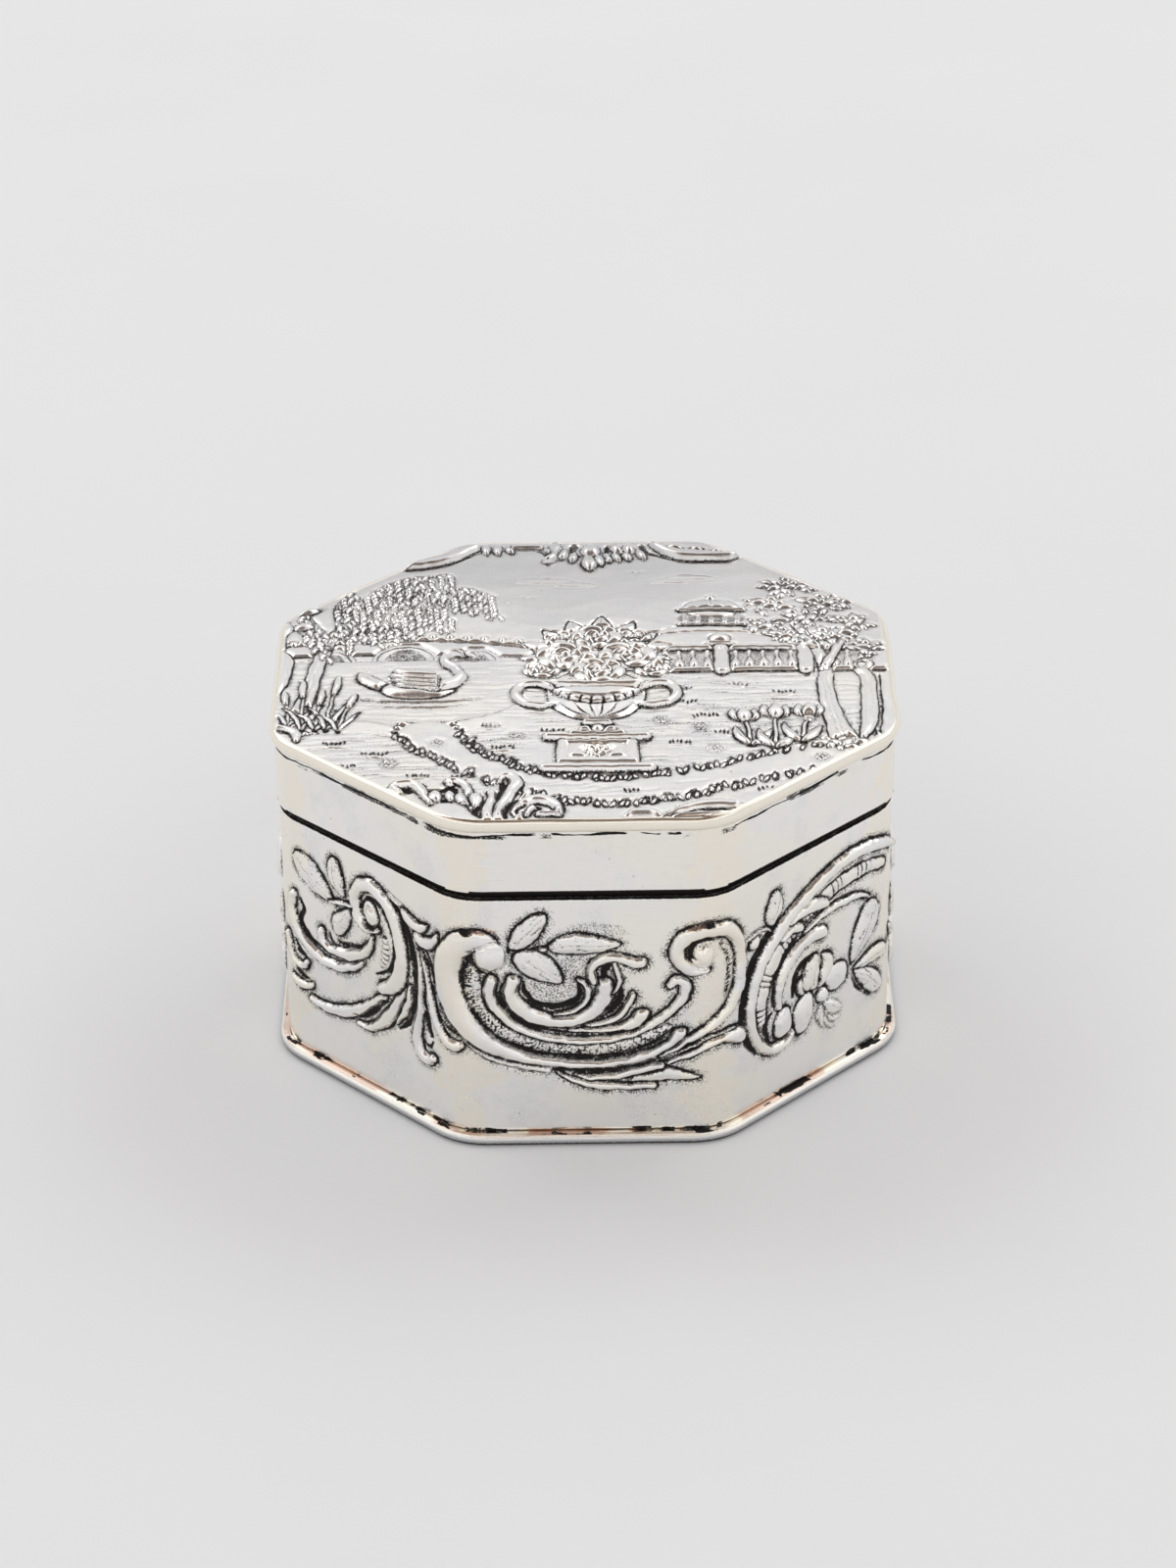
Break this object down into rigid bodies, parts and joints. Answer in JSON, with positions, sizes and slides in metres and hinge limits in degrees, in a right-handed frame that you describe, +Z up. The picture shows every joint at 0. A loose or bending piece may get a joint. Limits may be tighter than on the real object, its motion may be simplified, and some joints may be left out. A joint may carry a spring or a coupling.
{
  "type": "hinged silver box",
  "caption": "Octagonal silver keepsake box with stamped scroll relief, a rounded base edge and a hinged lid standing slightly ajar.",
  "frame": {"origin": "centre of the base plate's underside", "axes": "+Z up, -Y towards the front, the hinge at the back along X"},
  "size_m": [0.0516, 0.0522, 0.0304],
  "materials": {
    "relief_silver": "polished silver with dark oxide in the recesses of the stamping",
    "plain_silver": "polished, with fine hairline scratches",
    "satin_silver": "satin"
  },
  "bodies": {
    "box_base": {"base_plate": "plain_silver", "base_wall": "relief_silver", "closing_bezel": "satin_silver", "base_knuckle_left": "plain_silver", "base_knuckle_centre": "plain_silver", "base_knuckle_right": "plain_silver", "hinge_pin": "satin_silver"},
    "lid": {"lid_top_plate": "relief_silver", "lid_skirt": "plain_silver", "lid_knuckle_left": "plain_silver", "lid_knuckle_right": "plain_silver"}
  },
  "joints": [
    {"name": "lid_hinge", "type": "hinge", "parent": "box_base", "child": "lid", "pos_m": [0, 0.0253, 0.0226], "axis": [-1, 0, 0], "range_deg": [-0.8, 170]}
  ]
}
